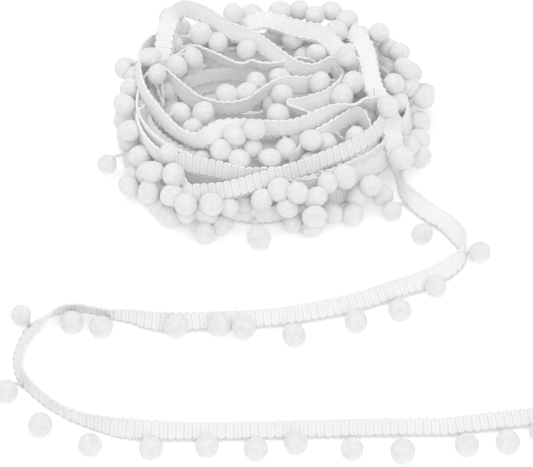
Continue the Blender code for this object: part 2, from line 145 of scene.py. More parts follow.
# Tape turns that show on the heap. Columns: photo_x, photo_y, height in mm, lean in degrees.
# The lean tips the tape's upper edge from upright towards the right hand of its run.
TURNS = {
    "back_left_loop": (
        (162, 61, 30, -80),
        (164, 47, 32, -84),
        (166, 34, 34, -84),
        (170, 21, 35, -65),
        (176, 12, 36, -25),
        (185, 8, 36, -20),
        (196, 11, 36, -25),
        (208, 16, 36, -25),
        (220, 24, 35, -22),
        (234, 32, 34, -25),
        (251, 38, 33, -25),
        (266, 48, 32, -25),
        (280, 58, 31, -20),
        (296, 68, 30, -15),
        (314, 71, 30, -10),
        (331, 64, 30, -10),
    ),
    "left_loop_and_crossing": (
        (161, 42, 24, 20),
        (150, 45, 28, 12),
        (141, 54, 31, 0),
        (138, 68, 33, -14),
        (140, 82, 33, -12),
        (146, 96, 33, -9),
        (157, 111, 33, -8),
        (169, 125, 33, -7),
        (182, 135, 33, 2),
        (196, 140, 33, -6),
        (208, 136, 33, -42),
        (222, 129, 34, -50),
        (240, 128, 34, -40),
        (262, 128, 34, -15),
        (285, 128, 34, -10),
        (301, 125, 34, -15),
        (316, 119, 34, -20),
        (332, 112, 34, -8),
        (343, 108.5, 34, 15),
        (353, 105.5, 34, 36),
        (363, 103, 33, 12),
        (375, 103, 32, 0),
    ),
    "under_crossing": (
        (306, 142, 27, -10),
        (318, 136, 28, -10),
        (330, 129, 29, -10),
        (342, 122, 29, -12),
        (353, 115, 29, -10),
        (361, 116, 28, -10),
        (366, 124, 26, -10),
    ),
    "hollow_front": (
        (160, 68, 30, 10),
        (168, 76, 29, 0),
        (177, 86, 28, -10),
        (187, 95, 27, -15),
        (197, 102, 26, -10),
        (208, 105, 26, 0),
        (222, 108, 26, 0),
        (238, 107, 26, 0),
        (250, 103, 26, 0),
        (262, 94, 27, 0),
        (273, 88, 28, -5),
        (287, 84, 29, -20),
        (302, 85, 29, -20),
    ),
    "hollow_back_edge_on": (
        (164, 64, 29, 30),
        (175, 57, 29, 30),
        (186, 51, 29, 25),
        (196, 49, 29, 20),
        (206, 53, 28, 15),
        (218, 58, 27, 15),
        (230, 63, 26, 20),
        (241, 66, 26, 25),
        (251, 63, 26, 25),
        (262, 66, 26, 20),
        (276, 66, 27, 20),
        (290, 62, 28, 20),
    ),
    "hollow_back_ribbed": (
        (202, 61.5, 17, 20),
        (207, 64.5, 16.5, 4),
        (214, 68.5, 16, -8),
        (225, 71.5, 15, -12),
        (240, 74, 14, -14),
        (254, 76, 14, -14),
        (270, 76.5, 15, -14),
        (284, 73, 17, -14),
    ),
    "back_top": (
        (249, 25, 35, -75),
        (262, 20, 36, -65),
        (276, 22, 36, -55),
        (290, 27, 36, -45),
        (304, 30.5, 36, -40),
        (318, 33, 36, -40),
        (330, 41, 35, -45),
        (341, 55, 33, -60),
    ),
    "front_upper": (
        (138, 120, 25, 5),
        (142, 134, 24, 5),
        (150, 147, 23, 0),
        (162, 157, 23, -5),
        (180, 162, 25, -20),
        (195, 165, 26, -25),
        (210, 168, 26, -25),
        (224, 171, 26, -25),
        (238, 175, 25, -20),
        (254, 176, 24, -20),
        (270, 175, 24, -15),
    ),
    "front_crossing": (
        (187, 193, 19, -40),
        (200, 193, 20, -30),
        (214, 192, 21, -25),
        (228, 190, 22, -25),
        (244, 186, 23, -25),
        (262, 180, 24, -20),
        (282, 174, 25, -15),
        (302, 168, 26, -15),
        (322, 160, 27, -15),
        (340, 153, 27, -20),
        (357, 145, 28, -20),
        (371, 136, 28, -20),
        (382, 124, 28, -20),
    ),
    "front_right_lower": (
        (322, 182, 17, 0),
        (337, 176, 17, -10),
        (350, 169, 17, -20),
        (363, 160, 18, -20),
        (376, 149, 18, -10),
    ),
    "front_right_low": (
        (316, 203, 8, -20),
        (330, 198, 8, -20),
        (343, 194, 8, -20),
        (358, 188, 8, -20),
    ),
    "front_foot": (
        (226, 212, 6, -20),
        (240, 213, 5.5, -20),
        (256, 215, 5.5, -20),
        (272, 214, 5.5, -20),
        (292, 211, 5.5, -20),
    ),
    "front_right_tuck": (
        (358, 176, 13, -25),
        (369, 169, 14, -30),
        (381, 162, 14, -30),
        (392, 152, 14, -30),
    ),
    "right_hollow_edge": (
        (290, 108, 30, -20),
        (302, 106, 30, -20),
        (314, 103, 30, -30),
        (328, 98, 30, -30),
        (340, 88, 30, -20),
    ),
}

# The turn on the heap's right side that runs down its neck into the loose end. Columns as above.
NECK = (
    (350, 30, 35, -40),
    (360, 40, 35, -65),
    (366.5, 54, 34, -80),
    (369.5, 70, 33, -82),
    (373, 86, 32, -80),
    (382, 102, 30, -80),
    (390, 118, 28, -84),
    (392, 132, 25, -86),
    (394, 147, 20, -74),
    (397, 160, 15.5, -50),
    (399.5, 171, 12.0, -26),
)

# The loose end's middle line. Columns: photo_x, photo_y, lift off the table in mm, lean in degrees.
LOOSE_END = (
    (401.5, 182, 4.6, -13),
    (406, 192, 2.0, -20),
    (416, 202, 0.6, -44),
    (430, 213, 0, -67),
    (445, 222, 0, -64),
    (458, 235, 0, -45),
    (464, 246, 0, -10),
    (462, 256, 0, 20),
    (448, 268, 0, 50),
    (425, 280, 0, 62),
    (399, 288, 0, 67),
    (356, 302, 0, 70),
    (303, 313, 0, 72),
    (264, 318, 0, 75),
    (201, 321, 0, 76),
    (172, 322, 0, 55),
    (148, 320, 0, 28),
    (129, 316, 0, 3),
    (110, 314, 0, -10),
    (93, 310, 0, -18),
    (77, 308, 0, -15),
    (60, 310, 0, -16),
    (46, 317, 0, -36),
    (34, 328, 0, -56),
    (25, 341, 0, -50),
    (20, 352, 0, -40),
    (18.6, 364, 0, -28),
    (21.5, 376, 0, -14),
    (31, 387, 0, -7),
    (43, 398, 0, -3),
    (57, 407.5, 0, 0),
    (74, 416, 0, -2),
    (96, 422.5, 0, -14),
    (120, 427.5, 0, -38),
    (150, 430, 0, -64),
    (182, 431, 0, -80),
    (224, 431, 0, -85),
    (264, 430, 0, -85),
    (310, 429, 0, -85),
    (352, 428, 0, -85),
    (403, 427, 0, -85),
    (443, 427, 0, -85),
    (469, 424, 0, -85),
    (495, 421, 0, -85),
    (532, 417, 0, -85),
    (557, 415, 0, -85),
)

# How strongly the ribs stand out along a turn, as (share of its length, strength).
# Turns that aren't named have strength 1 all along.
RIB_STRENGTHS = {
    "back_left_loop": ((0.0, 0.9), (0.20, 0.9), (0.36, 0.35), (1.0, 0.15)),
    "left_loop_and_crossing": ((0.0, 0.30), (0.45, 0.45), (1.0, 0.45)),
    "under_crossing": ((0.0, 0.25), (1.0, 0.25)),
    "hollow_front": ((0.0, 0.15), (0.8, 0.2), (1.0, 0.8)),
    "hollow_back_edge_on": ((0.0, 0.3), (1.0, 0.3)),
    "hollow_back_ribbed": ((0.0, 0.35), (1.0, 0.35)),
    "back_top": ((0.0, 0.4), (0.3, 0.5), (0.6, 0.2), (1.0, 0.1)),
    "front_upper": ((0.0, 0.1), (0.38, 0.15), (0.48, 1.0), (1.0, 1.0)),
    "front_right_lower": ((0.0, 0.2), (1.0, 0.2)),
    "front_right_tuck": ((0.0, 0.1), (1.0, 0.1)),
    "front_foot": ((0.0, 0.12), (1.0, 0.12)),
    "right_hollow_edge": ((0.0, 0.3), (1.0, 0.3)),
}
LOOSE_STRENGTH = ((0.0, 0.12), (0.15, 0.15), (0.18, 0.30), (0.25, 0.35), (0.28, 0.9), (1.0, 1.0))
HIDDEN_STRENGTH = ((0.0, 0.25), (1.0, 0.25))
FULL_STRENGTH = ((0.0, 1.0), (1.0, 1.0))

# How the ends of a turn go on into the heap: degrees round it, the share of its half size that they
# draw in to, and how far they drop in mm. An end that isn't named has TUCK.
TUCK = (20, 0.72, 12)
TUCK_PARTS = (0.33, 0.66, 1.0)
# How much of the way in a tucked end gets before it is hidden.
TUCK_REACH = 0.7
START_TUCKS = {
    "left_loop_and_crossing": (16, 0.85, 9),
    "back_top": (5, 0.9, 13),
    "hollow_back_ribbed": (1, 0.9, 1),
    "right_hollow_edge": (6, 0.8, 14),
}
END_TUCKS = {"back_left_loop": (14, 0.6, 14), "under_crossing": (10, 0.8, 14)}

# The loose end's pompoms. Columns: photo_x, photo_y, height in mm, size in mm.
LOOSE_POMPOMS = (
    (392, 211, 5.5, 10.0),
    (422, 234, 5.5, 10.9),
    (480, 252, 5.5, 10.9),
    (436, 287, 5.5, 10.6),
    (400, 310, 5.5, 11.4),
    (356, 321, 5.5, 11.5),
    (294, 335, 5.5, 11.8),
    (244, 327, 7.8, 11.8),
    (219, 324, 7.8, 11.9),
    (176, 326, 8.2, 11.7),
    (101, 327, 5.5, 11.4),
    (72, 322, 5.5, 11.3),
    (21, 315, 5.5, 10.3),
    (6, 391, 5.5, 11.2),
    (40, 425, 5.5, 11.5),
    (90, 445, 5.5, 11.0),
    (151, 448, 5.5, 11.2),
    (207, 446, 5.5, 11.5),
    (256, 449, 5.5, 11.5),
    (296, 443, 5.5, 11.4),
    (352, 449, 5.5, 11.0),
    (403, 451, 5.5, 11.8),
    (467, 445, 5.5, 11.3),
    (508, 442, 5.5, 11.6),
    (541, 432, 5.5, 11.2),
)

# The strips of edge whose solids carry those pompoms.
LOOSE_STRIPS = (
    "pompoms_off_heap",
    "pompoms_upper_run",
    "pompoms_left_bend",
    "pompoms_left_turn",
    "pompoms_lower_run",
)

# Two pompoms lie out on the table on stalks that show. Each row has the pompom's photo_x, photo_y
# and height in mm, then the same of the point on the heap where its stalk starts.
SHOWN_STALKS = (
    ((107, 163, 5.5), (127, 154, 9.0)),
    ((259, 238, 5.5), (253.5, 217, 8.0)),
)

# Pompoms that show on the heap, as photo_x, photo_y, a row for each height in mm.
HEAP_POMPOMS = {
    36: ((237, 20), (251, 15), (284, 12), (297, 11), (317, 14), (327, 12), (388, 106)),
    34: ((346, 21), (337, 31), (365, 36), (235, 136), (253, 131), (342, 58)),
    33: ((171, 17), (378, 38), (351, 50)),
    32: ((357, 83), (342, 96), (320, 83), (278, 115), (150, 62), (157, 76), (176, 66), (193, 58)),
    30: (
        (386, 47),
        (394, 84),
        (282, 95),
        (180, 113),
        (201, 117),
        (309, 139),
        (250, 147),
        (222, 151),
        (247, 49),
    ),
    29: ((218, 42), (201, 37), (397, 58)),
    28: (
        (241, 157),
        (270, 158),
        (287, 150),
        (355, 137),
        (171, 152),
        (229, 95),
        (247, 93),
        (255, 83),
        (317, 53),
    ),
    26: ((195, 128), (324, 144), (299, 115), (400, 68), (280, 78)),
    22: ((405, 73), (129, 71), (133, 86), (134, 110), (142, 129), (402, 158)),
    20: ((180, 180), (326, 184), (342, 177), (282, 192), (296, 195), (407, 88), (152, 176)),
    17: ((177, 191), (262, 198), (313, 197), (406, 104), (186, 204)),
    15: ((404, 118), (126, 104), (371, 186), (209, 205)),
    13: ((131, 120), (140, 157), (196, 203), (406, 132), (150, 190)),
    11: ((420, 95), (145, 178), (224, 211), (291, 211), (207, 214), (314, 219), (404, 143)),
    8: ((419, 122), (125, 121), (184, 211), (357, 198), (410, 139), (137, 186), (130, 146)),
    5.5: (
        (128, 137),
        (133, 160),
        (134, 176),
        (147, 197),
        (160, 206),
        (173, 213),
        (208, 228),
        (219, 224),
        (294, 221),
        (313, 227),
        (334, 213),
        (352, 214),
        (383, 195),
        (419, 156),
        (107, 164),
        (259, 238),
    ),
}

# Pompoms that only fill a gap between the turns in view. Columns: photo_x, photo_y, height in mm.
GAP_POMPOMS = (
    (180, 28, 22),
    (239, 103, 15),
    (257, 102, 17),
    (268, 104, 18),
    (156, 50, 22),
    (136, 76, 22),
    (160, 92, 20),
    (150, 80, 20),
    (293, 42, 24),
    (305, 58, 20),
    (345, 75, 22),
    (300, 72, 18),
    (372, 118, 18),
    (340, 134, 16),
    (367, 144, 14),
    (379, 158, 9),
    (322, 190, 9),
    (303, 205, 6),
    (245, 203, 9),
    (205, 180, 12),
    (230, 184, 13),
)

# Pompoms round the back of the heap, which the photograph doesn't show.
# Columns: first and last bearing in degrees, number, height in mm, how far out in mm.
BACK_POMPOMS = (
    (24, 150, 11, 5.5, 5.5),
    (18, 156, 11, 15.5, 4.5),
    (30, 146, 9, 25.5, 0.0),
)

# Turns of the winding that show only between the others.
# Columns: share of the way from hollow to rim at the start and the end, height in mm at the start
# and the end, turns, lean in degrees, first bearing in degrees.
WINDINGS = (
    (0.90, 0.84, 5.4, 25.0, 2.1, -4, 200),
    (0.78, 0.68, 15.0, 21.0, 1.2, -55, 60),
    (0.58, 0.50, 13.0, 19.0, 1.3, 60, 150),
    (0.36, 0.28, 11.0, 18.0, 1.3, -60, 250),
    (0.08, 0.03, 5.6, 16.0, 1.3, 4, 90),
)
WINDING_POINTS_PER_TURN = 36
# How far the windings draw in from the heap's rim on the side of the viewpoint, where pompoms hang
# before them.
FRONT_RECESS = 0.06

# Pompoms of the hidden turns. Columns: share from hollow to rim, height in mm, number, first bearing.
INNER_POMPOMS = (
    (0.74, 18.0, 14, 8),
    (0.50, 16.0, 12, 20),
    (0.22, 14.0, 9, 35),
)


def from_photo(photo_x, photo_y, height):
    """The point at this height, in metres, that a pixel of the photograph shows."""
    pixels_across = LENS / SENSOR_WIDTH * PHOTO_WIDTH
    rise = math.sin(VIEW_ELEVATION)
    reach = math.cos(VIEW_ELEVATION)
    eye = LOOK_AT + VIEW_DISTANCE * TOWARDS_EYE
    right = (photo_x - PHOTO_MIDDLE[0]) / pixels_across
    up = (PHOTO_MIDDLE[1] - photo_y) / pixels_across
    sight = np.array((right, reach + up * rise, -rise + up * reach))
    return eye + sight * ((height - eye[2]) / sight[2])


def evenly_spaced(rows, step):
    """Rows of four numbers read at even steps along a smooth curve through them, with the ends kept."""
    rows = np.array(rows, float)
    padded = np.vstack((rows[:1], rows, rows[-1:]))
    share = np.linspace(0, 1, SPAN_SAMPLES, endpoint=False)[:, None]
    fine = []
    for before, start, end, after in zip(padded, padded[1:], padded[2:], padded[3:]):
        fine.append(
            0.5
            * (
                2 * start
                + (end - before) * share
                + (2 * before - 5 * start + 4 * end - after) * share**2
                + (3 * start - before - 3 * end + after) * share**3
            )
        )
    fine = np.vstack((*fine, rows[-1:]))
    lengths = np.concatenate(((0,), np.cumsum(np.linalg.norm(np.diff(fine[:, :3], axis=0), axis=1))))
    wanted = np.linspace(0, lengths[-1], max(2, round(lengths[-1] / step)) + 1)
    return np.column_stack([np.interp(wanted, lengths, fine[:, column]) for column in range(4)])


def resting_height(lean):
    """How high the middle of the tape lies when its lower edge rests on the table."""
    return 0.5 * (TAPE_WIDTH * math.cos(lean) + TAPE_THICKNESS * abs(math.sin(lean)))


def turn_rows(table):
    """A table of a heap turn as rows of x, y, z and lean."""
    rows = []
    for photo_x, photo_y, height_mm, lean_deg in table:
        rows.append((*from_photo(photo_x, photo_y, height_mm * MM), math.radians(lean_deg)))
    return rows


def loose_rows():
    """The loose end's table as rows of x, y, z and lean."""
    rows = []
    for photo_x, photo_y, lift_mm, lean_deg in LOOSE_END:
        lean = math.radians(lean_deg)
        height = lift_mm * MM + resting_height(lean)
        rows.append((*from_photo(photo_x, photo_y, height), lean))
    return rows


def unit(vectors):
    """Vectors made one long."""
    return vectors / np.linalg.norm(vectors, axis=-1, keepdims=True)


def frames_along(route):
    """The points of a route, and the directions along, across and through the tape at each of them."""
    points = route[:, :3]
    run = unit(np.gradient(points, axis=0))
    level_right = unit(np.cross(run, UP))
    upright = np.cross(level_right, run)
    lean = route[:, 3:4]
    across = upright * np.cos(lean) + level_right * np.sin(lean)
    return points, run, across, np.cross(run, across)


def heap_middle():
    """The middle of the heap on the table."""
    return from_photo(*HEAP_MIDDLE_PIXEL, 0.0)


def rim_point(bearing, height=0.0, outwards=0.0):
    """A point of the heap's outer outline, with slow waves in it as in a loose winding."""
    wave = 1 + 0.020 * math.sin(3 * bearing + 1.0) + 0.014 * math.sin(5 * bearing + 2.2)
    flat = wave * np.array((HEAP_HALF_WIDTH * math.cos(bearing), HEAP_HALF_DEPTH * math.sin(bearing), 0))
    flat *= 1 + outwards / np.linalg.norm(flat)
    return heap_middle() + flat + height * UP


def hollow_point(bearing, height=0.0):
    """A point of the edge of the hollow in the heap's middle."""
    wave = 1 + 0.05 * math.sin(2 * bearing + 0.6) + 0.04 * math.sin(3 * bearing)
    flat = wave * np.array((HOLLOW_HALF_WIDTH * math.cos(bearing), HOLLOW_HALF_DEPTH * math.sin(bearing), 0))
    return heap_middle() + np.array((*HOLLOW_OFFSET, height)) + flat


def between(share, bearing, height):
    """A point of the heap, by its share of the way from the hollow to the rim."""
    inner = hollow_point(bearing, height)
    return inner + share * (rim_point(bearing, height) - inner)


def winding_rows(first_share, last_share, start_mm, end_mm, turns, lean_deg, first_deg):
    """A rising turn or more round the heap as rows of x, y, z and lean."""
    rows = []
    count = round(turns * WINDING_POINTS_PER_TURN)
    for number in range(count + 1):
        part = number / count
        bearing = math.radians(first_deg) + 2 * math.pi * turns * part
        share = first_share + (last_share - first_share) * part - FRONT_RECESS * max(0.0, -math.sin(bearing))
        sway = math.sin(2 * bearing + 9 * share) + 0.6 * math.sin(5 * bearing + 4 * share)
        height = (start_mm + (end_mm - start_mm) * part + max(0.0, 1.2 * sway * min(1.0, 6 * part))) * MM
        lean = math.radians(lean_deg + 6 * math.sin(3 * bearing + 5 * share))
        inwards = 0.012 * math.sin(4 * bearing + 7 * share)
        rows.append((*between(share - abs(inwards), bearing, height), lean))
    return rows


def tucked_in(rows, start_tuck, end_tuck):
    """The rows of a turn with both ends led on round the heap and down into it."""
    rows = [np.array(row) for row in rows]
    middle = heap_middle()
    before = []
    after = []
    for tail, neighbour, tuck, kept in (
        (rows[0], rows[1], start_tuck, before),
        (rows[-1], rows[-2], end_tuck, after),
    ):
        turn_deg, drawn_in, drop_mm = tuck
        here = (tail[:2] - middle[:2]) / (HEAP_HALF_WIDTH, HEAP_HALF_DEPTH)
        there = (neighbour[:2] - middle[:2]) / (HEAP_HALF_WIDTH, HEAP_HALF_DEPTH)
        bearing = math.atan2(here[1], here[0])
        onward = 1 if here[1] * there[0] - here[0] * there[1] > 0 else -1
        reach = np.linalg.norm(here)
        for part in TUCK_PARTS:
            turned = bearing + onward * math.radians(turn_deg) * part
            radius = reach + (drawn_in - reach) * TUCK_REACH * part
            place = middle[:2] + radius * np.array(
                (HEAP_HALF_WIDTH * math.cos(turned), HEAP_HALF_DEPTH * math.sin(turned))
            )
            height = max(TAPE_WIDTH / 2, tail[2] - drop_mm * MM * part**2)
            kept.append(np.array((*place, height, tail[3] * (1 - part))))
    return before[::-1] + rows + after


def joined(shapes):
    """Several shapes as one.

    A shape is its points, its faces and, for each point, three numbers of its place.
    """
    points = []
    faces = []
    places = []
    start = 0
    for shape_points, shape_faces, shape_places in shapes:
        points.append(shape_points)
        places.append(shape_places)
        faces += [tuple(index + start for index in face) for face in shape_faces]
        start += len(shape_points)
    return np.vstack(points), faces, np.vstack(places)


def loft_faces(rows, sides):
    """The faces of a closed tube of so many rows of so many points."""
    faces = []
    for row in range(rows - 1):
        here = row * sides
        there = here + sides
        for side in range(sides):
            following = (side + 1) % sides
            faces.append((here + side, here + following, there + following, there + side))
    faces.append(tuple(range(sides))[::-1])
    faces.append(tuple(range((rows - 1) * sides, rows * sides)))
    return faces


def tape_shape(rows, strengths, face_lanes, rng):
    """The ribbed tape along its rows.

    Each point's place is how far along and how far across the tape it lies, and how high its rib is.
    """
    points, _, across, through = frames_along(evenly_spaced(rows, RIB_PITCH / SAMPLES_PER_RIB))
    count = len(points)
    along = np.arange(count) * RIB_PITCH / SAMPLES_PER_RIB
    strength = np.interp(np.linspace(0, 1, count), *zip(*strengths))
    loops = np.abs(np.sin(np.pi * along / (2 * RIB_PITCH)))
    groove = 1 - np.abs(np.sin(np.pi * along / RIB_PITCH)) ** RIB_CREST
    rib = 1 - strength * groove * (1 - PAIR_SHARE * loops)
    rib_numbers = np.arange(count) // SAMPLES_PER_RIB
    differences = rng.random(count // SAMPLES_PER_RIB + 1)[rib_numbers] - 0.5
    uneven = 1 + RIB_UNEVENNESS * strength * differences
    half_height = GROOVE_HALF_HEIGHT + (RIB_HALF_HEIGHT - GROOVE_HALF_HEIGHT) * rib * uneven
    scallop = SCALLOP_DEPTH * (loops + RIB_SCALLOP * rib)
    pompom_half = TAPE_WIDTH / 2 - SCALLOP_DEPTH - CHAIN_OFFSET + scallop
    plain_half = TAPE_WIDTH / 2 - SCALLOP_DEPTH + scallop
    lanes = [(-1.0, 0.0), *face_lanes, (1.0, 0.0)]
    lanes += [(wide, -deep) for wide, deep in reversed(face_lanes)]
    sections = np.empty((count, len(lanes), 3))
    places = np.empty((count, len(lanes), 3))
    for number, (wide, deep) in enumerate(lanes):
        reach = wide * (plain_half if wide > 0 else pompom_half)
        sections[:, number] = points + across * reach[:, None] + through * (half_height * deep)[:, None]
        places[:, number] = np.column_stack((along / MM, reach / MM, rib))
    sections[:, :, 2] = np.maximum(sections[:, :, 2], 0.0)
    faces = loft_faces(count, len(lanes))
    return sections.reshape(-1, 3), faces, places.reshape(-1, 3)


def tube_shape(points, radius, sides, aside=None):
    """A round thread through points.

    Its sections are set out from a direction across it, a level one if none is given.
    """
    run = unit(np.gradient(points, axis=0))
    if aside is None:
        aside = np.cross(run, UP)
    aside = unit(aside - run * (run * aside).sum(axis=1, keepdims=True))
    up = np.cross(aside, run)
    sections = []
    for side in range(sides):
        turn = 2 * math.pi * side / sides
        sections.append(points + radius * (aside * math.cos(turn) + up * math.sin(turn)))
    sections = np.stack(sections, axis=1)
    sections[:, :, 2] = np.maximum(sections[:, :, 2], 0.0)
    along = np.concatenate(((0,), np.cumsum(np.linalg.norm(np.diff(points, axis=0), axis=1)))) / MM
    places = np.zeros((len(points), sides, 3))
    places[:, :, 0] = along[:, None]
    places[:, :, 1] = np.arange(sides) / sides
    places[:, :, 2] = 0.8
    return sections.reshape(-1, 3), loft_faces(len(points), sides), places.reshape(-1, 3)


def chain_shapes(rows):
    """The two looped threads that make a chain along the pompom edge."""
    points, _, across, through = frames_along(evenly_spaced(rows, RIB_PITCH / CHAIN_SAMPLES_PER_RIB))
    phase = np.arange(len(points)) * np.pi / (2 * CHAIN_SAMPLES_PER_RIB)
    shapes = []
    for side in (1, -1):
        swing = side * CHAIN_SWING * np.sin(phase)
        rise = side * CHAIN_RADIUS * np.cos(phase)
        reach = swing - TAPE_WIDTH / 2 + CHAIN_OFFSET / 2
        line = points + across * reach[:, None] + through * rise[:, None]
        shapes.append(tube_shape(line, CHAIN_RADIUS, 4))
    return shapes


def pompom_edge(rows):
    """Points along the pompom edge of the tape, and the direction of its run at each."""
    points, run, across, _ = frames_along(evenly_spaced(rows, ROUTE_STEP))
    return points - across * (TAPE_WIDTH / 2), run


def icosphere():
    """The points and faces of a ball of radius 1."""
    shape = bmesh.new()
    bmesh.ops.create_icosphere(shape, subdivisions=BALL_SUBDIVISIONS, radius=1.0)
    points = np.array([vert.co for vert in shape.verts])
    faces = np.array([[vert.index for vert in face.verts] for face in shape.faces])
    shape.free()
    return points, faces


def pompom_shape(ball, centre, size, unevenness, rng):
    """A cut-yarn pompom: a ball with soft tufts, and short fibres that stand out of it."""
    directions, faces = ball
    spin = np.linalg.qr(rng.normal(size=(3, 3)))[0]
    waves = rng.normal(size=(TUFT_WAVES, 3)) * np.linspace(*TUFT_RATES, TUFT_WAVES)[:, None]
    phases = rng.random(TUFT_WAVES) * 2 * math.pi
    heights = np.linspace(*TUFT_HEIGHTS, TUFT_WAVES)
    relief = 1 + (np.sin(directions @ waves.T + phases) * heights).sum(axis=1)
    squash = 1 + unevenness * (rng.random(3) - 0.5)
    surface = (directions * relief[:, None] * squash) @ spin * size
    body = centre + surface
    roots = rng.choice(len(directions), FIBRES_PER_POMPOM, replace=False)
    outwards = unit(unit(surface[roots]) + FIBRE_TILT * rng.normal(size=(FIBRES_PER_POMPOM, 3)))
    aside = unit(np.cross(outwards, rng.normal(size=(FIBRES_PER_POMPOM, 3))))
    up = np.cross(outwards, aside)
    start = body[roots] - outwards * FIBRE_LENGTH * 0.3
    length = FIBRE_LENGTH * (0.7 + 0.8 * rng.random((FIBRES_PER_POMPOM, 1)))
    corners = []
    for side in range(3):
        turn = 2 * math.pi * side / 3
        corners.append(start + FIBRE_RADIUS * (aside * math.cos(turn) + up * math.sin(turn)))
    corners.append(start + outwards * length)
    spikes = np.stack(corners, axis=1).reshape(-1, 3)
    spikes[:, 2] = np.maximum(spikes[:, 2], 0.0)
    body[:, 2] = np.maximum(body[:, 2], 0.0)
    first = len(body)
    spike_faces = []
    for number in range(FIBRES_PER_POMPOM):
        a = first + 4 * number
        spike_faces += [(a, a + 1, a + 3), (a + 1, a + 2, a + 3), (a + 2, a, a + 3), (a + 2, a + 1, a)]
    places = np.vstack((directions, np.zeros((len(spikes), 3))))
    handed = faces if np.linalg.det(spin) > 0 else faces[:, ::-1]
    return np.vstack((body, spikes)), [*map(tuple, handed), *spike_faces], places


def stalk_shapes(centre, root, run):
    """The three threads from the tape's edge over the top of a pompom and into it."""
    towards = root - centre
    entry = centre + POMPOM_RADIUS * 0.92 * unit(unit(towards) * 0.75 + UP * 0.65)
    inside = centre + 0.4 * (entry - centre)
    middle = 0.5 * (root + entry) + UP * STALK_ARCH
    shapes = []
    for number in (-1, 0, 1):
        aside = run * number * STALK_THREAD_SPACING
        rows = [
            (*(root + aside), 0.0),
            (*(middle + aside * 0.75), 0.0),
            (*(entry + aside * 0.6), 0.0),
            (*(inside + aside * 0.4), 0.0),
        ]
        line = evenly_spaced(rows, STALK_STEP)[:, :3]
        line[:, 2] = np.maximum(line[:, 2], STALK_THREAD_RADIUS)
        shapes.append(tube_shape(line, STALK_THREAD_RADIUS, 5, run))
    return shapes


def heap_centres():
    """The centres of the heap's pompoms: those of the photograph, and those that it doesn't show."""
    seen = []
    for height_mm, spots in HEAP_POMPOMS.items():
        seen += [from_photo(*spot, height_mm * MM) for spot in spots]
    hidden = []
    for first, last, count, height_mm, out_mm in BACK_POMPOMS:
        for number in range(count):
            bearing = math.radians(first + (last - first) * number / (count - 1))
            height = height_mm + (1.5 * math.sin(5 * number) if height_mm > POMPOM_RADIUS / MM else 0)
            hidden.append(rim_point(bearing, height * MM, out_mm * MM))
    for share, height_mm, count, first_deg in INNER_POMPOMS:
        for number in range(count):
            bearing = math.radians(first_deg + 360 * number / count)
            hidden.append(between(share, bearing, (height_mm + 2.5 * math.sin(3 * number)) * MM))
    hidden += [from_photo(x, y, z * MM) for x, y, z in GAP_POMPOMS]
    return np.array(seen), np.array(hidden)


def settled(centres, tape_points):
    """Pompoms eased apart and off the tape.

    They move mostly along the line of sight, so that they keep their places in the view.
    """
    moved = centres.copy()
    pair_gap = 2 * POMPOM_RADIUS * FIRM_SHARE
    tape_gap = POMPOM_RADIUS * FIRM_SHARE
    for _ in range(EASING_ROUNDS):
        push = np.zeros_like(moved)
        apart = moved[:, None] - moved[None]
        distance = np.linalg.norm(apart, axis=2) + np.eye(len(moved))
        overlap = np.maximum(0.0, pair_gap - distance) * (1 - np.eye(len(moved)))
        push += 0.25 * (apart / distance[:, :, None] * overlap[:, :, None]).sum(axis=1)
        away = moved[:, None] - tape_points[None]
        distance = np.linalg.norm(away, axis=2) + 1e-9
        nearest = distance.argmin(axis=1)
        rows = np.arange(len(moved))
        overlap = np.maximum(0.0, tape_gap - distance[rows, nearest])
        push += 0.5 * away[rows, nearest] / distance[rows, nearest][:, None] * overlap[:, None]
        along_sight = (push @ TOWARDS_EYE)[:, None] * TOWARDS_EYE
        moved += along_sight + 0.5 * (push - along_sight)
        moved[:, 2] = np.maximum(moved[:, 2], POMPOM_RADIUS)
    return moved


def new_material(name, roughness, sheen, subsurface=0.0, glow=YARN_GLOW):
    """A Principled material and its node tree, with the values that are even all over."""
    made = bpy.data.materials.new(name)
    made.use_nodes = True
    tree = made.node_tree
    shader = tree.nodes["Principled BSDF"]
    shader.inputs["Roughness"].default_value = roughness
    shader.inputs["Sheen Weight"].default_value = sheen
    shader.inputs["Sheen Roughness"].default_value = 0.5
    shader.inputs["Specular IOR Level"].default_value = 0.25
    shader.inputs["Subsurface Weight"].default_value = subsurface
    shader.inputs["Subsurface Radius"].default_value = WHITE
    shader.inputs["Subsurface Scale"].default_value = 0.0015
    shader.inputs["Emission Color"].default_value = (*WHITE, 1.0)
    shader.inputs["Emission Strength"].default_value = glow
    return made, tree, shader


def noise(tree, scale, detail):
    """A noise texture in the object's own coordinates."""
    place = tree.nodes.new("ShaderNodeTexCoord")
    texture = tree.nodes.new("ShaderNodeTexNoise")
    texture.inputs["Scale"].default_value = scale
    texture.inputs["Detail"].default_value = detail
    tree.links.new(place.outputs["Object"], texture.inputs["Vector"])
    return texture.outputs["Fac"]


def colour_between(tree, factor, low, high, start, end):
    """A colour ramp of two greys over part of a factor's range."""
    ramp = tree.nodes.new("ShaderNodeValToRGB")
    ramp.color_ramp.elements[0].position = start
    ramp.color_ramp.elements[0].color = (*low, 1.0)
    ramp.color_ramp.elements[1].position = end
    ramp.color_ramp.elements[1].color = (*high, 1.0)
    tree.links.new(factor, ramp.inputs["Fac"])
    return ramp.outputs["Color"]


def multiplied(tree, first, second):
    """Two colours multiplied."""
    mix = tree.nodes.new("ShaderNodeMix")
    mix.data_type = "RGBA"
    mix.blend_type = "MULTIPLY"
    mix.inputs["Factor"].default_value = 1.0
    tree.links.new(first, mix.inputs[6])
    tree.links.new(second, mix.inputs[7])
    return mix.outputs[2]


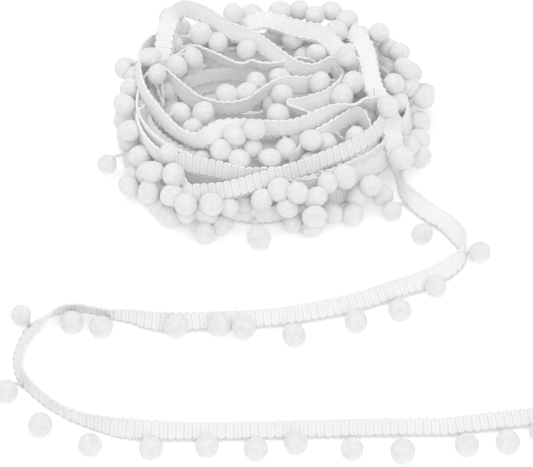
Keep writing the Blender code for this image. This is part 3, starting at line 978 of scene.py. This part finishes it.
def bump(tree, height, strength, distance, below=None):
    """A bump from a height, laid over another normal if there is one."""
    node = tree.nodes.new("ShaderNodeBump")
    node.inputs["Strength"].default_value = strength
    node.inputs["Distance"].default_value = distance
    tree.links.new(height, node.inputs["Height"])
    if below is not None:
        tree.links.new(below, node.inputs["Normal"])
    return node.outputs["Normal"]


def thread_lines(tree, scale, direction, distortion):
    """Fine even lines at right angles to a direction of the tape's own place, and the node of that place."""
    place = tree.nodes.new("ShaderNodeAttribute")
    place.attribute_name = "tape_place"
    lines = tree.nodes.new("ShaderNodeTexWave")
    lines.wave_type = "BANDS"
    lines.bands_direction = direction
    lines.inputs["Scale"].default_value = scale
    lines.inputs["Distortion"].default_value = distortion
    lines.inputs["Detail"].default_value = 2.0
    tree.links.new(place.outputs["Vector"], lines.inputs["Vector"])
    return lines.outputs["Fac"], place


def tape_material():
    """Matte white yarn in ribs, with the threads that cross the ribs and fuzz; painted shade darkens the
    grooves, and a little the low lines of the threads.
    """
    made, tree, shader = new_material("tape_yarn", roughness=0.82, sheen=0.15)
    threads, place = thread_lines(tree, 0.75, "Y", 1.2)
    split = tree.nodes.new("ShaderNodeSeparateXYZ")
    tree.links.new(place.outputs["Vector"], split.inputs["Vector"])
    # Painted shade in the grooves, read from the rib height in the tape's place.
    groove_shade = colour_between(tree, split.outputs["Z"], TAPE_GROOVE_SHADE, TAPE_RIB, 0.0, 0.75)
    uneven = colour_between(tree, noise(tree, 260.0, 4.0), (0.96, 0.96, 0.96), WHITE, 0.3, 0.7)
    # Painted shade: the lines of the threads are a little darker where their bump is low.
    lines = colour_between(tree, threads, (0.97, 0.97, 0.97), WHITE, 0.1, 0.8)
    shade = multiplied(tree, multiplied(tree, groove_shade, uneven), lines)
    tree.links.new(shade, shader.inputs["Base Color"])
    woven = bump(tree, threads, 0.35, 0.00012)
    fuzzy = bump(tree, noise(tree, 2600.0, 3.0), 0.30, 0.00010, woven)
    tree.links.new(fuzzy, shader.inputs["Normal"])
    return made


def pompom_material():
    """Soft cut yarn: matte, a little translucent, with fine fuzz and tufts."""
    made, tree, shader = new_material("pompom_yarn", roughness=0.95, sheen=0.30, subsurface=0.25)
    shade = colour_between(tree, noise(tree, 420.0, 5.0), POMPOM_DEEP, POMPOM_LIGHT, 0.32, 0.68)
    tree.links.new(shade, shader.inputs["Base Color"])
    tufts = bump(tree, noise(tree, 700.0, 3.0), 0.35, 0.00035)
    fuzzy = bump(tree, noise(tree, 3200.0, 4.0), 0.45, 0.00012, tufts)
    tree.links.new(fuzzy, shader.inputs["Normal"])
    return made


def thread_material():
    """Twisted white thread, coloured darker in the valleys of its twist as painted shade."""
    made, tree, shader = new_material("stalk_thread", roughness=0.85, sheen=0.2)
    twist, _ = thread_lines(tree, 0.55, "DIAGONAL", 0.4)
    shade = colour_between(tree, twist, THREAD_TWIST_SHADE, THREAD_LIGHT, 0.1, 0.8)
    tree.links.new(shade, shader.inputs["Base Color"])
    twisted = bump(tree, twist, 0.5, 0.00012)
    fuzzy = bump(tree, noise(tree, 3000.0, 3.0), 0.3, 0.00010, twisted)
    tree.links.new(fuzzy, shader.inputs["Normal"])
    return made


def piece(name, shapes, material, replaced=()):
    """A finished piece of the part from shapes, smooth, with its place attribute."""
    points, faces, places = joined(shapes)
    mesh = bpy.data.meshes.new(name)
    mesh.from_pydata(points.tolist(), [], faces)
    attribute = mesh.attributes.new("tape_place", "FLOAT_VECTOR", "POINT")
    attribute.data.foreach_set("vector", places.astype(np.float32).ravel())
    mesh.shade_smooth()
    mesh.materials.append(material)
    made = bpy.data.objects.new(name, mesh)
    bpy.context.scene.collection.objects.link(made)
    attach(made, "root")
    if replaced:
        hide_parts(*replaced)
    return made


def length_of(rows):
    """The length of a smooth route through rows."""
    route = evenly_spaced(rows, ROUTE_STEP)[:, :3]
    return float(np.linalg.norm(np.diff(route, axis=0), axis=1).sum())


def make_camera():
    """The camera where the photograph was taken from."""
    data = bpy.data.cameras.new("photo_view")
    data.sensor_width = SENSOR_WIDTH / MM
    data.lens = LENS / MM
    camera = bpy.data.objects.new("photo_view", data)
    camera.location = LOOK_AT + VIEW_DISTANCE * TOWARDS_EYE
    camera.rotation_euler = (math.radians(90) - VIEW_ELEVATION, 0.0, 0.0)
    bpy.context.scene.collection.objects.link(camera)
    bpy.context.scene.camera = camera


def make_stage():
    """A pale floor and soft white light from above, with a little more from behind."""
    bpy.ops.mesh.primitive_plane_add(size=4.0, location=(0.0, 0.0, -0.0002))
    floor = bpy.context.object
    floor.name = "table_top"
    made, tree, shader = new_material("pale_table", roughness=0.9, sheen=0.0, glow=TABLE_GLOW)
    cloudy = noise(tree, 30.0, 2.0)
    shade = colour_between(tree, cloudy, (0.95, 0.95, 0.95), (0.965, 0.965, 0.965), 0.3, 0.7)
    tree.links.new(shade, shader.inputs["Base Color"])
    floor.data.materials.append(made)
    world = bpy.data.worlds.new("studio")
    world.use_nodes = True
    background = world.node_tree.nodes["Background"]
    background.inputs["Color"].default_value = (*WHITE, 1.0)
    background.inputs["Strength"].default_value = WORLD_STRENGTH
    bpy.context.scene.world = world
    for name, place, size, power in SOFT_LIGHTS:
        data = bpy.data.lights.new(name, "AREA")
        data.shape = "SQUARE"
        data.size = size
        data.energy = power
        light = bpy.data.objects.new(name, data)
        light.location = place
        aim = LOOK_AT - np.array(place)
        light.rotation_euler = Vector(aim).to_track_quat("-Z", "Y").to_euler()
        bpy.context.scene.collection.objects.link(light)
    bpy.context.scene.view_settings.view_transform = "Standard"


def pompom_piece(name, centres, sizes, unevenness, ball, material, rng, replaced=()):
    """A group of pompoms as one piece."""
    shapes = [pompom_shape(ball, centre, size, unevenness, rng) for centre, size in zip(centres, sizes)]
    return piece(name, shapes, material, replaced)


def shown_stalks(centres):
    """The stalks that show between the heap and the pompoms lying out on the table."""
    shapes = []
    for (x, y, height), (root_x, root_y, root_height) in SHOWN_STALKS:
        wanted = from_photo(x, y, height * MM)
        centre = centres[np.linalg.norm(centres - wanted, axis=1).argmin()]
        root = from_photo(root_x, root_y, root_height * MM)
        shapes += stalk_shapes(centre, root, unit(np.cross(UP, root - centre)))
    return shapes


def stalk_piece(name, centres, edge, material, further_stalks=()):
    """The stalks of a group of pompoms, each from the nearest point of the pompom edge."""
    points, runs = edge
    shapes = list(further_stalks)
    for centre in centres:
        distance = np.linalg.norm(points - centre, axis=1)
        nearest = distance.argmin()
        if distance[nearest] < LONGEST_STALK:
            shapes += stalk_shapes(centre, points[nearest], runs[nearest])
    return piece(name, shapes, material)


def tape_lanes(routes):
    """Points spread over the tape of several routes."""
    lanes = []
    for rows in routes:
        points, _, across, _ = frames_along(evenly_spaced(rows, 1.5 * ROUTE_STEP))
        lanes += [points + across * reach for reach in (-0.005, -0.0025, 0.0, 0.0025, 0.005)]
    return np.vstack(lanes)


def make_pompoms(laid, seen, hidden, rng):
    """The pompoms of the loose end, those in view on the heap, and those behind them."""
    ball = icosphere()
    fluff = pompom_material()
    laid_sizes = [size * MM / 2 for _, _, _, size in LOOSE_POMPOMS]
    seen_sizes = POMPOM_RADIUS * (SEEN_SMALLEST + SIZE_SPREAD * rng.random(len(seen)))
    hidden_sizes = POMPOM_RADIUS * (HIDDEN_SMALLEST + SIZE_SPREAD * rng.random(len(hidden)))
    return (
        pompom_piece("pompoms_on_loose_end", laid, laid_sizes, LAID_UNEVENNESS, ball, fluff, rng, LOOSE_STRIPS),
        pompom_piece("pompoms_on_heap", seen, seen_sizes, SEEN_UNEVENNESS, ball, fluff, rng),
        pompom_piece("pompoms_behind_heap", hidden, hidden_sizes, HIDDEN_UNEVENNESS, ball, fluff, rng),
    )


def make_loose_end(loose, laid, tape, thread, rng):
    """The loose end: its tape, chain and stalks, laid on the table with its pompoms."""
    laid_stalks = stalk_piece("stalks_on_loose_end", laid, pompom_edge(loose), thread)
    shapes = [tape_shape(loose, LOOSE_STRENGTH, FACE_LANES, rng)]
    loose_tape = piece("loose_end_tape", shapes, tape, ("loose_tape",))
    loose_chain = piece("loose_end_chain", chain_shapes(loose), thread)
    length_of(loose)


def make_heap_stalks(heap_rows, seen, hidden, thread):
    """The stalks of all the heap's pompoms."""
    edges = [pompom_edge(rows) for rows in heap_rows]
    heap_edge = [np.vstack(column) for column in zip(*edges)]
    heap_pompoms = np.vstack((seen, hidden))
    return stalk_piece("stalks_on_heap", heap_pompoms, heap_edge, thread, shown_stalks(seen))


def make_heap(shown, below, tape, thread, rng):
    """The heap's tape in view and below, and the chain along the pompom edge of both."""
    shapes = []
    for name, rows in shown.items():
        shapes.append(tape_shape(rows, RIB_STRENGTHS.get(name, FULL_STRENGTH), FACE_LANES, rng))
    shown_tape = piece("heap_tape_in_view", shapes, tape, ("wound_heap",))
    shapes = [tape_shape(rows, HIDDEN_STRENGTH, HIDDEN_LANES, rng) for rows in below]
    hidden_tape = piece("heap_tape_below", shapes, tape)
    shapes = []
    for rows in [*shown.values(), *below]:
        shapes += chain_shapes(rows)
    heap_chain = piece("heap_chain", shapes, thread)
    sum(map(length_of, shown.values()))
    sum(map(length_of, below))


def make_trim():
    """Every piece of the trim, around the solids that it replaces."""
    rng = np.random.default_rng(7)
    tape = tape_material()
    thread = thread_material()
    shown = {}
    for name, table in TURNS.items():
        shown[name] = tucked_in(turn_rows(table), START_TUCKS.get(name, TUCK), END_TUCKS.get(name, TUCK))
    below = [winding_rows(*row) for row in WINDINGS]
    loose = turn_rows(NECK) + loose_rows()
    heap_rows = [*shown.values(), *below]

    seen, hidden = heap_centres()
    centres = settled(np.vstack((seen, hidden)), tape_lanes([*heap_rows, loose]))
    seen, hidden = centres[: len(seen)], centres[len(seen) :]
    laid = np.array([from_photo(x, y, z * MM) for x, y, z, _ in LOOSE_POMPOMS])

    laid_pompoms, seen_pompoms, hidden_pompoms = make_pompoms(laid, seen, hidden, rng)
    heap_stalks = make_heap_stalks(heap_rows, seen, hidden, thread)
    make_loose_end(loose, laid, tape, thread, rng)
    make_heap(shown, below, tape, thread, rng)


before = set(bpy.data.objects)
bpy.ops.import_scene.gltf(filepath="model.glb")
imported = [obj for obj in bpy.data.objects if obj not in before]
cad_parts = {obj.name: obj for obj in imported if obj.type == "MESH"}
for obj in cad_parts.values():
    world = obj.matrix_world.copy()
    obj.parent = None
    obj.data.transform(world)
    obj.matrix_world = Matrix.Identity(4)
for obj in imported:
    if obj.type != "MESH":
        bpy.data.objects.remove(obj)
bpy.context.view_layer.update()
make_camera()
make_stage()
make_trim()
